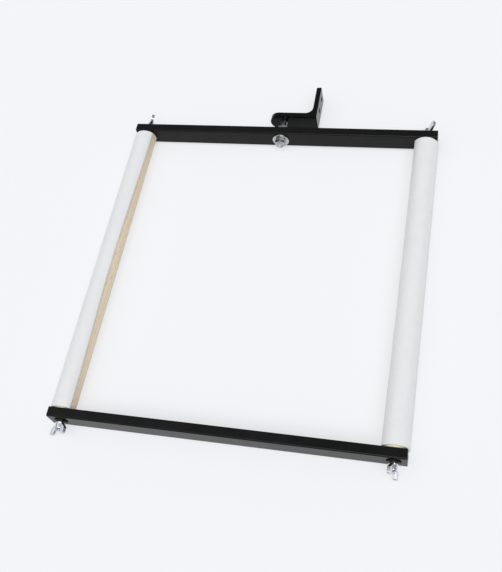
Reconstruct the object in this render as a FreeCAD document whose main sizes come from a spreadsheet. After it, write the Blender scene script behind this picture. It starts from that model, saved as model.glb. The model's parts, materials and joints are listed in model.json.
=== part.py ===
import FreeCAD, Part
import math
import os

import Sketcher

# Screen printing frame: two rectangular tube crossbars joined by two round wooden rails.
# Each rail carries a split sleeve that clips over the fabric. Studs in the rail ends pass through
# the crossbars to wing nuts, and a bolt through the rear crossbar holds an angle bracket.
# Millimetres. X runs along the crossbars, Y from the front crossbar to the rear one, and Z is up.
# The origin is the bottom centre of the whole frame as it lies on its sleeves.

# Driving dimensions: alias, value in millimetres or degrees, meaning.
DIMENSIONS = (
    ("bar_length", 406.4, "crossbar length"),
    ("bar_height", 25.4, "crossbar tube height"),
    ("bar_depth", 12.0, "crossbar tube depth, front to back"),
    ("bar_wall", 1.6, "crossbar tube wall"),
    ("bar_corner", 1.8, "outside corner radius of the crossbar tube"),
    ("plug_clear", 1.2, "inner end of an end plug to the stud hole"),
    ("plug_fit", 0.05, "clearance of an end plug in its tube"),
    ("rail_length", 405.0, "distance between the two crossbars"),
    ("rail_inset", 13.9, "rail axis to the end of a crossbar"),
    ("core_diameter", 25.4, "wooden rail core"),
    ("core_chamfer", 1.0, "chamfer on the ends of the wooden core"),
    ("sleeve_wall", 3.1, "clamp sleeve wall"),
    ("sleeve_short", 3.5, "how much shorter a sleeve is than the distance between the crossbars"),
    ("sleeve_fit", 0.08, "radial clearance of a sleeve on its core"),
    ("sleeve_slot", 104.0, "angle of the slot along a sleeve"),
    ("left_slot_drop", 7.0, "how far the left slot is turned down from facing inward, in degrees"),
    ("right_slot_drop", 28.0, "how far the right slot is turned down from facing inward, in degrees"),
    ("left_sleeve_gap", 3.0, "left sleeve to the rear crossbar"),
    ("right_sleeve_gap", 2.0, "right sleeve to the rear crossbar"),
    ("stud_diameter", 6.35, "rail stud, quarter inch thread"),
    ("stud_embed", 32.0, "how far a stud is set into its core"),
    ("stud_reach", 12.6, "how far a stud stands out of its crossbar"),
    ("stud_chamfer", 0.8, "chamfer on a stud or bolt tip"),
    ("washer_outside", 16.0, "wing nut washer, outside"),
    ("washer_thick", 1.6, "every flat washer, thickness"),
    ("wing_base", 10.6, "wing nut hub diameter at its base"),
    ("wing_top", 8.8, "wing nut hub diameter at its top"),
    ("wing_hub", 8.0, "wing nut hub height"),
    ("wing_span", 28.4, "wing nut, tip to tip"),
    ("wing_height", 15.0, "wing nut, base to wing tips"),
    ("wing_thick", 3.6, "wing nut wing thickness"),
    ("wing_tip", 5.6, "width of a wing at its tip"),
    ("wing_round", 2.6, "rounding of a wing tip"),
    ("bolt_diameter", 7.94, "pivot bolt, five sixteenths inch thread"),
    ("bolt_length", 44.45, "pivot bolt under its head"),
    ("head_flats", 12.7, "pivot bolt head across flats"),
    ("head_height", 5.2, "pivot bolt head height"),
    ("nut_flats", 12.7, "pivot nut across flats"),
    ("nut_thick", 6.75, "pivot nut thickness"),
    ("pivot_washer", 22.0, "pivot washer, outside"),
    ("bracket_gap", 17.5, "rear crossbar to the bracket plate"),
    ("bracket_plate", 63.5, "bracket plate length"),
    ("bracket_leg", 50.8, "bracket leg length, over the plate"),
    ("bracket_height", 25.4, "bracket height"),
    ("bracket_thick", 6.35, "bracket thickness"),
    ("bracket_end", 18.8, "pivot axis to the rounded end of the plate"),
    ("bracket_fillet", 9.5, "fillet inside the bracket's corner"),
    ("bracket_toe", 1.6, "rounding along the inner edges of both bracket ends"),
    ("leg_hole", 6.8, "bracket mounting hole"),
    ("leg_hole_pitch", 20.0, "distance between the mounting holes"),
    ("leg_hole_end", 9.2, "last mounting hole to the end of the leg"),
    ("turn_fit", 0.05, "radial clearance of a stud or bolt in a hole that turns or slides on it"),
    ("set_fit", 0.02, "radial clearance of a stud or bolt set fast in its hole"),
    ("face_gap", 0.05, "gap between flat faces that turn on each other"),
    ("front_left_angle", 35.0, "front left wing nut, wings to the crossbar, seen from the front"),
    ("front_right_angle", 105.0, "front right wing nut"),
    ("rear_left_angle", 65.0, "rear left wing nut"),
    ("rear_right_angle", 53.0, "rear right wing nut"),
)

SIDES = {"left": -1, "right": 1}
ENDS = {"front": -1, "rear": 1}

# Places worked out from the driving dimensions. Each is an expression over the sheet.
RAIL_X = "(Sizes.bar_length / 2 - Sizes.rail_inset)"
SLEEVE_BORE = "(Sizes.core_diameter / 2 + Sizes.sleeve_fit)"
SLEEVE_OUTSIDE = f"({SLEEVE_BORE} + Sizes.sleeve_wall)"
AXIS_Z = SLEEVE_OUTSIDE
FRAME_LENGTH = "(Sizes.rail_length + 2 * Sizes.bar_depth)"
WASHER_SEAT = "Sizes.face_gap"
NUT_SEAT = "(2 * Sizes.face_gap + Sizes.washer_thick)"
FRONT_REACH = f"({NUT_SEAT} + Sizes.wing_height)"
REAR_REACH = "(Sizes.bracket_gap + Sizes.bracket_leg)"
FRONT_FACE = f"(({FRONT_REACH} - {FRAME_LENGTH} - {REAR_REACH}) / 2)"
REAR_FACE = f"({FRONT_FACE} + {FRAME_LENGTH})"
REAR_INSIDE = f"({REAR_FACE} - Sizes.bar_depth)"
PLATE_FRONT = f"({REAR_FACE} + Sizes.bracket_gap)"
PLATE_BACK = f"({PLATE_FRONT} + Sizes.bracket_thick)"
OUTER_FACE = {"front": FRONT_FACE, "rear": REAR_FACE}
SLEEVE_LENGTH = "(Sizes.rail_length - Sizes.sleeve_short)"
STUD_HOLE = "(Sizes.stud_diameter / 2 + Sizes.turn_fit)"
PLUG_DEPTH = f"(Sizes.rail_inset - {STUD_HOLE} - Sizes.plug_clear)"
TUBE_INSIDE_HEIGHT = "(Sizes.bar_height - 2 * Sizes.bar_wall)"
TUBE_INSIDE_DEPTH = "(Sizes.bar_depth - 2 * Sizes.bar_wall)"

doc = FreeCAD.newDocument("screen_printing_frame")


def make_sheet():
    """Write the driving dimensions into a spreadsheet, one alias for each value."""
    sheet = doc.addObject("Spreadsheet::Sheet", "Sizes")
    for row, (alias, value, meaning) in enumerate(DIMENSIONS, start=1):
        sheet.set(f"A{row}", alias.replace("_", " "))
        sheet.set(f"B{row}", str(value))
        sheet.set(f"C{row}", meaning)
        sheet.setAlias(f"B{row}", alias)
    doc.recompute()
    return sheet


sizes = make_sheet()


def value_of(expression):
    """Give the present value of an expression over the sheet as a plain number."""
    return float(sizes.evalExpression(expression))


# Helpers for sketches and features.

def new_body(label):
    """Start a body for one sub-part, which its label names."""
    body = doc.addObject("PartDesign::Body", label)
    body.Label = label
    return body


def new_sketch(body, name, role, lift=None):
    """Put an empty sketch on one of the body's own origin planes, raised by an expression if given."""
    plane = next(item for item in body.Origin.OriginFeatures if item.Role == role)
    sketch = body.newObject("Sketcher::SketchObject", name)
    sketch.AttachmentSupport = (plane, [""])
    sketch.MapMode = "FlatFace"
    if lift is not None:
        sketch.setExpression("AttachmentOffset.Base.z", lift)
    return sketch


def bind(sketch, name, index, expression):
    """Name one constraint of a sketch and tie its value to the sheet."""
    sketch.renameConstraint(index, name)
    sketch.setExpression(f"Constraints.{name}", expression)


def hold_coordinate(sketch, kind, name, geometry, vertex, expression):
    """Hold one coordinate of a sketch vertex at an expression, or on the axis when it is zero."""
    if expression == "0":
        axis = -2 if kind == "DistanceX" else -1
        sketch.addConstraint(Sketcher.Constraint("PointOnObject", geometry, vertex, axis))
        return
    value = value_of(expression)
    index = sketch.addConstraint(Sketcher.Constraint(kind, -1, 1, geometry, vertex, value))
    bind(sketch, name, index, expression)


def add_outline(sketch, corners):
    """Draw a closed outline of straight lines through corners, each a pair of expressions."""
    points = [FreeCAD.Vector(value_of(x), value_of(y), 0) for x, y in corners]
    first = sketch.GeometryCount
    for start, end in zip(points, points[1:] + points[:1]):
        sketch.addGeometry(Part.LineSegment(start, end), False)
    count = len(points)
    for step in range(count):
        following = first + (step + 1) % count
        sketch.addConstraint(Sketcher.Constraint("Coincident", first + step, 2, following, 1))
    for step, (x, y) in enumerate(corners):
        hold_coordinate(sketch, "DistanceX", f"across{first + step}", first + step, 1, x)
        hold_coordinate(sketch, "DistanceY", f"along{first + step}", first + step, 1, y)


def add_circle(sketch, x, y, radius):
    """Draw a circle with its centre and radius bound to expressions."""
    centre = FreeCAD.Vector(value_of(x), value_of(y), 0)
    circle = sketch.addGeometry(Part.Circle(centre, FreeCAD.Vector(0, 0, 1), value_of(radius)), False)
    index = sketch.addConstraint(Sketcher.Constraint("Radius", circle, value_of(radius)))
    bind(sketch, f"radius{circle}", index, radius)
    hold_coordinate(sketch, "DistanceX", f"across{circle}", circle, 3, x)
    hold_coordinate(sketch, "DistanceY", f"along{circle}", circle, 3, y)


def rectangle(half_width, half_height):
    """Give the four corners of a centred rectangle as expressions."""
    return (
        (f"-{half_width}", f"-{half_height}"),
        (half_width, f"-{half_height}"),
        (half_width, half_height),
        (f"-{half_width}", half_height),
    )


def add_pad(body, sketch, length, symmetric=False):
    """Pad a sketch by an expression, from its plane or to both sides of it."""
    pad = body.newObject("PartDesign::Pad", f"{sketch.Name}_pad")
    pad.Profile = sketch
    pad.setExpression("Length", length)
    if symmetric:
        pad.SideType = "Symmetric"
    sketch.Visibility = False
    doc.recompute()
    return pad


def add_pocket(body, sketch):
    """Cut a sketch through the whole body, to both sides of its plane, and make sure that it cut."""
    before = body.Shape.Volume
    pocket = body.newObject("PartDesign::Pocket", f"{sketch.Name}_pocket")
    pocket.Profile = sketch
    pocket.SideType = "Symmetric"
    pocket.Type = "ThroughAll"
    sketch.Visibility = False
    doc.recompute()
    if body.Shape.Volume >= before:
        raise RuntimeError(f"{pocket.Name} cut nothing from {body.Label}")
    return pocket


def add_revolution(body, sketch):
    """Turn a sketch on the XZ plane once round the body's Z axis."""
    turned = body.newObject("PartDesign::Revolution", f"{sketch.Name}_turned")
    turned.Profile = sketch
    turned.ReferenceAxis = (sketch, ["V_Axis"])
    turned.Angle = 360
    sketch.Visibility = False
    doc.recompute()
    return turned


def edges_where(feature, wanted):
    """Name the edges of a feature's shape that the test accepts."""
    return [f"Edge{index}" for index, edge in enumerate(feature.Shape.Edges, start=1) if wanted(edge)]


def add_fillet(body, feature, wanted, radius):
    """Round the edges that the test accepts by an expression."""
    names = edges_where(feature, wanted)
    if not names:
        raise RuntimeError(f"no edge of {body.Label} to round")
    fillet = body.newObject("PartDesign::Fillet", f"{feature.Name}_round")
    fillet.Base = (feature, names)
    fillet.setExpression("Radius", radius)
    doc.recompute()
    return fillet


def runs_along(edge, direction):
    """Tell whether a straight edge is parallel to a direction."""
    if edge.Curve.TypeId != "Part::GeomLine":
        return False
    return edge.Curve.Direction.cross(direction).Length < 1e-6


def close_to(value, target):
    """Compare two lengths to a hundredth of a millimetre."""
    return abs(value - target) < 0.01


X_DIRECTION = FreeCAD.Vector(1, 0, 0)
Y_DIRECTION = FreeCAD.Vector(0, 1, 0)
Z_DIRECTION = FreeCAD.Vector(0, 0, 1)


def place(body, x, y, z, rotation=None):
    """Put a body at three expressions, turned by a fixed rotation."""
    body.Placement = FreeCAD.Placement(FreeCAD.Vector(0, 0, 0), rotation or FreeCAD.Rotation())
    body.setExpression("Placement.Base.x", x)
    body.setExpression("Placement.Base.y", y)
    body.setExpression("Placement.Base.z", z)


def outward(end, turn=0.0):
    """Turn a body's Z axis to point out of the front or rear of the frame, after a turn about itself."""
    tilt = FreeCAD.Rotation(X_DIRECTION, -90 * ENDS[end])
    return tilt * FreeCAD.Rotation(Z_DIRECTION, turn)


def rail_x(side):
    """Give the X place of a rail's axis as an expression."""
    return RAIL_X if side == "right" else f"-{RAIL_X}"


# Crossbars and their end plugs.

def make_crossbar(end):
    """Make a rectangular tube with a stud hole near each end, and a bolt hole in the rear one."""
    body = new_body(f"{end}_crossbar")
    section = new_sketch(body, f"{end}_bar_section", "YZ_Plane")
    add_outline(section, rectangle("Sizes.bar_depth / 2", "Sizes.bar_height / 2"))
    pad = add_pad(body, section, "Sizes.bar_length", symmetric=True)
    add_fillet(body, pad, lambda edge: runs_along(edge, X_DIRECTION), "Sizes.bar_corner")
    inside = new_sketch(body, f"{end}_bar_inside", "YZ_Plane")
    add_outline(inside, rectangle(f"{TUBE_INSIDE_DEPTH} / 2", f"{TUBE_INSIDE_HEIGHT} / 2"))
    add_pocket(body, inside)
    holes = new_sketch(body, f"{end}_bar_holes", "XZ_Plane")
    for side in SIDES:
        add_circle(holes, rail_x(side), "0", STUD_HOLE)
    if end == "rear":
        add_circle(holes, "0", "0", "Sizes.bolt_diameter / 2 + Sizes.turn_fit")
    add_pocket(body, holes)
    place(body, "0", f"{OUTER_FACE[end]} - {ENDS[end]} * Sizes.bar_depth / 2", AXIS_Z)
    return body


def make_end_plug(end, side):
    """Make the plug that closes one end of a crossbar, flush with the tube."""
    body = new_body(f"{end}_{side}_end_plug")
    section = new_sketch(body, f"{end}_{side}_plug_section", "YZ_Plane")
    half_depth = f"({TUBE_INSIDE_DEPTH} / 2 - Sizes.plug_fit)"
    half_height = f"({TUBE_INSIDE_HEIGHT} / 2 - Sizes.plug_fit)"
    add_outline(section, rectangle(half_depth, half_height))
    add_pad(body, section, PLUG_DEPTH, symmetric=True)
    x = f"{SIDES[side]} * (Sizes.bar_length - {PLUG_DEPTH}) / 2"
    place(body, x, f"{OUTER_FACE[end]} - {ENDS[end]} * Sizes.bar_depth / 2", AXIS_Z)
    return body


# Rails: wooden cores, split sleeves and studs.

def make_rail_core(side):
    """Turn a wooden core with a blind stud hole in each end, centred on its middle."""
    body = new_body(f"{side}_rail_core")
    half = "(Sizes.rail_length / 2 - Sizes.face_gap)"
    bore = "(Sizes.stud_diameter / 2 + Sizes.set_fit)"
    floor = f"({half} - Sizes.stud_embed)"
    radius = "(Sizes.core_diameter / 2)"
    profile = new_sketch(body, f"{side}_core_profile", "XZ_Plane")
    add_outline(profile, (
        ("0", f"-{floor}"),
        (bore, f"-{floor}"),
        (bore, f"-{half}"),
        (f"{radius} - Sizes.core_chamfer", f"-{half}"),
        (radius, f"-({half} - Sizes.core_chamfer)"),
        (radius, f"{half} - Sizes.core_chamfer"),
        (f"{radius} - Sizes.core_chamfer", half),
        (bore, half),
        (bore, floor),
        ("0", floor),
    ))
    add_revolution(body, profile)
    place(body, rail_x(side), f"{FRONT_FACE} + {FRAME_LENGTH} / 2", AXIS_Z, outward("rear"))
    return body


def make_clamp_sleeve(side):
    """Make a tube split by a slot along its inner side, with its rear end at Z = 0."""
    body = new_body(f"{side}_clamp_sleeve")
    ring = new_sketch(body, f"{side}_sleeve_ring", "XY_Plane", f"-{SLEEVE_LENGTH}")
    add_circle(ring, "0", "0", SLEEVE_OUTSIDE)
    add_circle(ring, "0", "0", SLEEVE_BORE)
    add_pad(body, ring, SLEEVE_LENGTH)
    slot = new_sketch(body, f"{side}_sleeve_slot", "XY_Plane")
    reach = f"(2 * {SLEEVE_OUTSIDE} / cos(Sizes.sleeve_slot / 2))"
    upper = f"(Sizes.{side}_slot_drop - Sizes.sleeve_slot / 2)"
    lower = f"(Sizes.{side}_slot_drop + Sizes.sleeve_slot / 2)"
    add_outline(slot, (
        ("0", "0"),
        (f"{-SIDES[side]} * {reach} * cos({upper})", f"{reach} * sin({upper})"),
        (f"{-SIDES[side]} * {reach} * cos({lower})", f"{reach} * sin({lower})"),
    ))
    add_pocket(body, slot)
    gap = f"Sizes.{side}_sleeve_gap"
    place(body, rail_x(side), f"{REAR_INSIDE} - {gap}", AXIS_Z, outward("rear"))
    return body


def make_stud(end, side):
    """Turn a stud that starts deep in the core and ends outside the crossbar, at Z = 0."""
    body = new_body(f"{end}_{side}_stud")
    radius = "(Sizes.stud_diameter / 2)"
    start = "-(Sizes.bar_depth + Sizes.face_gap + Sizes.stud_embed)"
    profile = new_sketch(body, f"{end}_{side}_stud_profile", "XZ_Plane")
    add_outline(profile, (
        ("0", start),
        (radius, start),
        (radius, "Sizes.stud_reach - Sizes.stud_chamfer"),
        (f"{radius} - Sizes.stud_chamfer", "Sizes.stud_reach"),
        ("0", "Sizes.stud_reach"),
    ))
    add_revolution(body, profile)
    place(body, rail_x(side), OUTER_FACE[end], AXIS_Z, outward(end))
    return body


# Washers, wing nuts and plain nuts, each with its seat at Z = 0 and its axis along Z.

def make_washer(label, outside, shaft):
    """Make a flat washer round a shaft."""
    body = new_body(label)
    ring = new_sketch(body, f"{label}_ring", "XY_Plane")
    add_circle(ring, "0", "0", f"{outside} / 2")
    add_circle(ring, "0", "0", f"{shaft} / 2 + Sizes.turn_fit")
    add_pad(body, ring, "Sizes.washer_thick")
    return body


def make_wing_nut(label):
    """Make a tapered hub with two upright wings, and bore it for the stud."""
    body = new_body(label)
    hub = new_sketch(body, f"{label}_hub", "XZ_Plane")
    add_outline(hub, (
        ("0", "0"),
        ("Sizes.wing_base / 2", "0"),
        ("Sizes.wing_top / 2", "Sizes.wing_hub"),
        ("0", "Sizes.wing_hub"),
    ))
    add_revolution(body, hub)
    tip = "(Sizes.wing_span / 2)"
    shoulder = f"({tip} - Sizes.wing_tip)"
    root = "(Sizes.wing_top / 4)"
    wings = new_sketch(body, f"{label}_wings", "XZ_Plane")
    add_outline(wings, (
        (f"-{root}", "Sizes.wing_hub / 8"),
        (root, "Sizes.wing_hub / 8"),
        (tip, "Sizes.wing_height * 0.5"),
        (tip, "Sizes.wing_height"),
        (shoulder, "Sizes.wing_height"),
        (root, "Sizes.wing_hub * 0.8"),
        (f"-{root}", "Sizes.wing_hub * 0.8"),
        (f"-{shoulder}", "Sizes.wing_height"),
        (f"-{tip}", "Sizes.wing_height"),
        (f"-{tip}", "Sizes.wing_height * 0.5"),
    ))
    pad = add_pad(body, wings, "Sizes.wing_thick", symmetric=True)
    limit = value_of(shoulder) - 0.01

    def at_wing_tip(edge):
        return runs_along(edge, Y_DIRECTION) and abs(edge.CenterOfMass.x) > limit

    add_fillet(body, pad, at_wing_tip, "Sizes.wing_round")
    bore = new_sketch(body, f"{label}_bore", "XY_Plane")
    add_circle(bore, "0", "0", STUD_HOLE)
    add_pocket(body, bore)
    return body


def hexagon(flats):
    """Give the corners of a hexagon with two flats across X, by its width across flats."""
    corner = f"({flats} / 2 / cos(30))"
    return tuple(
        (f"{corner} * cos({angle})", f"{corner} * sin({angle})")
        for angle in range(30, 390, 60)
    )


def make_hex_nut(label):
    """Make a plain hexagon nut bored for the pivot bolt."""
    body = new_body(label)
    section = new_sketch(body, f"{label}_section", "XY_Plane")
    add_outline(section, hexagon("Sizes.nut_flats"))
    add_circle(section, "0", "0", "Sizes.bolt_diameter / 2 + Sizes.turn_fit")
    add_pad(body, section, "Sizes.nut_thick")
    return body


def make_rail_fastening(end, side):
    """Seat a washer and a wing nut against the outside of a crossbar, on one rail stud."""
    direction = ENDS[end]
    washer = make_washer(f"{end}_{side}_washer", "Sizes.washer_outside", "Sizes.stud_diameter")
    place(washer, rail_x(side), f"{OUTER_FACE[end]} + {direction} * {WASHER_SEAT}", AXIS_Z, outward(end))
    nut = make_wing_nut(f"{end}_{side}_wing_nut")
    turn = -direction * value_of(f"Sizes.{end}_{side}_angle")
    place(nut, rail_x(side), f"{OUTER_FACE[end]} + {direction} * {NUT_SEAT}", AXIS_Z, outward(end, turn))
    return [washer, nut]


# Pivot bolt, its nuts and the bracket.

def make_pivot_bolt():
    """Make the bolt with its head behind the bracket plate and its tip in front of the rear crossbar."""
    body = new_body("pivot_bolt")
    head = new_sketch(body, "bolt_head_section", "XY_Plane", "-Sizes.head_height")
    add_outline(head, hexagon("Sizes.head_flats"))
    add_pad(body, head, "Sizes.head_height")
    radius = "(Sizes.bolt_diameter / 2)"
    shank = new_sketch(body, "bolt_shank_profile", "XZ_Plane")
    add_outline(shank, (
        ("0", "-Sizes.head_height / 2"),
        (radius, "-Sizes.head_height / 2"),
        (radius, "Sizes.bolt_length - Sizes.stud_chamfer"),
        (f"{radius} - Sizes.stud_chamfer", "Sizes.bolt_length"),
        ("0", "Sizes.bolt_length"),
    ))
    add_revolution(body, shank)
    place(body, "0", PLATE_BACK, AXIS_Z, outward("front"))
    return body


def make_pivot_fastening(name, face, end):
    """Seat a washer and a nut against one face of the rear crossbar, on the pivot bolt."""
    direction = ENDS[end]
    washer = make_washer(f"pivot_{name}_washer", "Sizes.pivot_washer", "Sizes.bolt_diameter")
    place(washer, "0", f"{face} + {direction} * {WASHER_SEAT}", AXIS_Z, outward(end))
    nut = make_hex_nut(f"pivot_{name}_nut")
    place(nut, "0", f"{face} + {direction} * {NUT_SEAT}", AXIS_Z, outward(end))
    return [washer, nut]


def make_bracket():
    """Make the angle bracket: a plate across the pivot bolt and a leg that runs back from its right end."""
    body = new_body("mounting_bracket")
    left = "-Sizes.bracket_end"
    right = "(Sizes.bracket_plate - Sizes.bracket_end)"
    leg_inside = f"({right} - Sizes.bracket_thick)"
    section = new_sketch(body, "bracket_section", "XY_Plane")
    add_outline(section, (
        (left, "0"),
        (right, "0"),
        (right, "Sizes.bracket_leg"),
        (leg_inside, "Sizes.bracket_leg"),
        (leg_inside, "Sizes.bracket_thick"),
        (left, "Sizes.bracket_thick"),
    ))
    pad = add_pad(body, section, "Sizes.bracket_height", symmetric=True)
    inner_x = value_of(leg_inside)
    inner_y = value_of("Sizes.bracket_thick")
    left_x = value_of(left)
    leg_end = value_of("Sizes.bracket_leg")

    def in_corner(edge):
        at = edge.CenterOfMass
        return runs_along(edge, Z_DIRECTION) and close_to(at.x, inner_x) and close_to(at.y, inner_y)

    def at_toe(edge):
        at = edge.CenterOfMass
        plate_toe = close_to(at.x, left_x) and close_to(at.y, inner_y)
        leg_toe = close_to(at.x, inner_x) and close_to(at.y, leg_end)
        return runs_along(edge, Z_DIRECTION) and (plate_toe or leg_toe)

    def at_plate_end(edge):
        return runs_along(edge, Y_DIRECTION) and close_to(edge.CenterOfMass.x, left_x)

    rounded = add_fillet(body, pad, in_corner, "Sizes.bracket_fillet")
    rounded = add_fillet(body, rounded, at_plate_end, "Sizes.bracket_height / 2 - 0.05")
    rounded = add_fillet(body, rounded, at_toe, "Sizes.bracket_toe")
    pivot = new_sketch(body, "bracket_pivot_hole", "XZ_Plane")
    add_circle(pivot, "0", "0", "Sizes.bolt_diameter / 2 + Sizes.set_fit")
    add_pocket(body, pivot)
    mounting = new_sketch(body, "bracket_mounting_holes", "YZ_Plane", right)
    for place_back in ("0", "Sizes.leg_hole_pitch"):
        y = f"Sizes.bracket_leg - Sizes.leg_hole_end - {place_back}"
        add_circle(mounting, y, "0", "Sizes.leg_hole / 2")
    add_pocket(body, mounting)
    place(body, "0", PLATE_FRONT, AXIS_Z)
    return body


# The whole frame.

def make_all():
    """Make every sub-part and list them."""
    made = []
    for end in ENDS:
        made.append(make_crossbar(end))
        for side in SIDES:
            made.append(make_end_plug(end, side))
            made.append(make_stud(end, side))
            made.extend(make_rail_fastening(end, side))
    for side in SIDES:
        made.append(make_rail_core(side))
        made.append(make_clamp_sleeve(side))
    made.append(make_pivot_bolt())
    made.append(make_bracket())
    made.extend(make_pivot_fastening("inner", REAR_INSIDE, "front"))
    made.extend(make_pivot_fastening("outer", REAR_FACE, "rear"))
    return made


def check(parts):
    """Stop if any object failed, or a sub-part isn't one valid solid."""
    for item in doc.Objects:
        if "Invalid" in item.State or "Error" in item.State:
            raise RuntimeError(f"{item.Name} failed: {item.State}")
    for body in parts:
        shape = body.Shape
        if shape.isNull() or not shape.isValid() or len(shape.Solids) != 1:
            raise RuntimeError(f"{body.Label} isn't one valid solid")


def export(parts):
    """Write each sub-part to a STEP file named after it."""
    os.makedirs("parts", exist_ok=True)
    for body in parts:
        body.Shape.exportStep(os.path.join("parts", f"{body.Label}.step"))


sub_parts = make_all()
doc.recompute()
check(sub_parts)
export(sub_parts)

whole = Part.makeCompound([body.Shape for body in sub_parts]).BoundBox
print(f"{len(sub_parts)} sub-parts, {whole.XLength:.1f} x {whole.YLength:.1f} x {whole.ZLength:.1f} mm")
print(f"centre {whole.Center.x:.3f}, {whole.Center.y:.3f}, bottom {whole.ZMin:.3f}")
print(f"volume {math.fsum(body.Shape.Volume for body in sub_parts) / 1000:.1f} cm3")
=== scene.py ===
"""Screen printing frame: tube crossbars, split clamp rails, wing nuts and a swivelling bracket.

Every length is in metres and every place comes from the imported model. Each sub-assembly is a class
that builds its own meshes and dresses them in one of the finishes below.
"""

import json
import logging
import math
from dataclasses import dataclass
from enum import Enum
from typing import Iterable, Optional, Sequence

import bmesh
import bpy
from mathutils import Matrix, Vector

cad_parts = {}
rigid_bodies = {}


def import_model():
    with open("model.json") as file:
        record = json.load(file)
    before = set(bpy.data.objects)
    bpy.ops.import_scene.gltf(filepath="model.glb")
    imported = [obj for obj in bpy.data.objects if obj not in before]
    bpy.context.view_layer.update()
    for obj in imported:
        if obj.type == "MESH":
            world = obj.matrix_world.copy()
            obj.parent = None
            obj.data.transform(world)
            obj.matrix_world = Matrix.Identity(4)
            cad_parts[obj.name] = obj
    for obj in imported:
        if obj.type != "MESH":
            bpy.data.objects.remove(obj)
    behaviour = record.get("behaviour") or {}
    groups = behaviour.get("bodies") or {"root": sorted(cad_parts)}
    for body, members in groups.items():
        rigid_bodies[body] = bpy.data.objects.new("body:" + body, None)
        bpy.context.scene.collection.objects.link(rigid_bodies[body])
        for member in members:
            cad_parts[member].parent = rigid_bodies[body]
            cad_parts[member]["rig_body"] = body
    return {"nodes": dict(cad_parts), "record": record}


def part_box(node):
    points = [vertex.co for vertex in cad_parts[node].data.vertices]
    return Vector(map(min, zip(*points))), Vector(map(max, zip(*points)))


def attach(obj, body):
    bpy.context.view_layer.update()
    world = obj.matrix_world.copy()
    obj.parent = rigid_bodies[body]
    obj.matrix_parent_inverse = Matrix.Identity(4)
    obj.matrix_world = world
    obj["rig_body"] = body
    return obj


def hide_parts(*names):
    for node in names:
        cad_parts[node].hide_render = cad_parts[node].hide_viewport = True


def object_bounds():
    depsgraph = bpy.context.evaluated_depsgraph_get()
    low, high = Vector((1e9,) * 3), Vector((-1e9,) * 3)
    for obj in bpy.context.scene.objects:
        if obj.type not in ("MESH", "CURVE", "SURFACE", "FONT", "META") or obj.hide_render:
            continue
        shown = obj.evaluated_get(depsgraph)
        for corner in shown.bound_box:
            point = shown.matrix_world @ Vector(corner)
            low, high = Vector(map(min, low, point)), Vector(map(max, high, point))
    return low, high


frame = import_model()
CAD_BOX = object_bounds()

LOG = logging.getLogger("printing_frame")
MM = 0.001
STUD_HOLE = 3.225 * MM

QUARTER_TURN_X = Matrix.Rotation(math.pi / 2, 4, "X")

Point2 = tuple[float, float]


class Way(Enum):
    """A direction that node names mention, with the sign of the axis that points out there."""

    @property
    def label(self) -> str:
        """The word that node names use for it."""
        return self.name.lower()


class End(Way):
    """The two ends of the frame, with the sign of Y that points out of each."""

    FRONT = -1
    REAR = 1


class Side(Way):
    """The two sides of the frame, with the sign of X that points out of each."""

    LEFT = -1
    RIGHT = 1


# ---------------------------------------------------------------------------------------------
# Mesh tools
# ---------------------------------------------------------------------------------------------


def add_object(name: str, data: bpy.types.ID) -> bpy.types.Object:
    """Make an object and put it into the scene.

    Args:
        name: Name of the object.
        data: Its mesh, light or camera.

    Returns:
        The object.
    """
    item = bpy.data.objects.new(name, data)
    bpy.context.scene.collection.objects.link(item)
    return item


def ring_of(radius: float, count: int, start: float = 0.0) -> list[Point2]:
    """Space points evenly round a circle.

    Args:
        radius: Radius of the circle.
        count: Number of points.
        start: Angle of the first point, in radians.

    Returns:
        The points, anticlockwise.
    """
    angles = [start + i * (math.tau / count) for i in range(count)]
    return [(radius * math.cos(angle), radius * math.sin(angle)) for angle in angles]


def arc_points(centre: Point2, radius: float, start: float, end: float, steps: int) -> list[Point2]:
    """Space points evenly along an arc.

    Args:
        centre: Centre of the arc.
        radius: Radius of the arc.
        start: First angle, in radians.
        end: Last angle, in radians.
        steps: Number of chords.

    Returns:
        The points from the first angle to the last, both included.
    """
    angles = [start + (end - start) * i / steps for i in range(steps + 1)]
    return [(centre[0] + radius * math.cos(a), centre[1] + radius * math.sin(a)) for a in angles]


def rounded_rectangle(width: float, height: float, radius: float, steps: int = 6) -> list[Point2]:
    """Outline a centred rectangle with round corners.

    Args:
        width: Full width.
        height: Full height.
        radius: Corner radius.
        steps: Chords in each corner.

    Returns:
        The outline, anticlockwise.
    """
    outline: list[Point2] = []
    corners = ((1, 1, 0.0), (-1, 1, 0.25), (-1, -1, 0.5), (1, -1, 0.75))
    for sign_x, sign_y, turn in corners:
        centre = (sign_x * (width / 2 - radius), sign_y * (height / 2 - radius))
        outline += arc_points(centre, radius, turn * math.tau, (turn + 0.25) * math.tau, steps)
    return outline


def rounded_outline(corners: Sequence[tuple[float, float, float]], steps: int = 6) -> list[Point2]:
    """Round the corners of a polygon, each with a radius of its own.

    Args:
        corners: X, Y and radius of each corner, in order round the polygon.
        steps: Chords in each rounded corner.

    Returns:
        The outline.
    """
    outline: list[Point2] = []
    count = len(corners)
    for i, (x, y, radius) in enumerate(corners):
        here = Vector((x, y))
        before = (Vector(corners[i - 1][:2]) - here).normalized()
        after = (Vector(corners[(i + 1) % count][:2]) - here).normalized()
        half = before.angle(after) / 2
        start = here + before * (radius / math.tan(half))
        finish = here + after * (radius / math.tan(half))
        for step in range(steps + 1):
            along = step / steps
            point = start * (1 - along) ** 2 + here * (2 * along * (1 - along)) + finish * along**2
            outline.append((point.x, point.y))
    return outline


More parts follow.
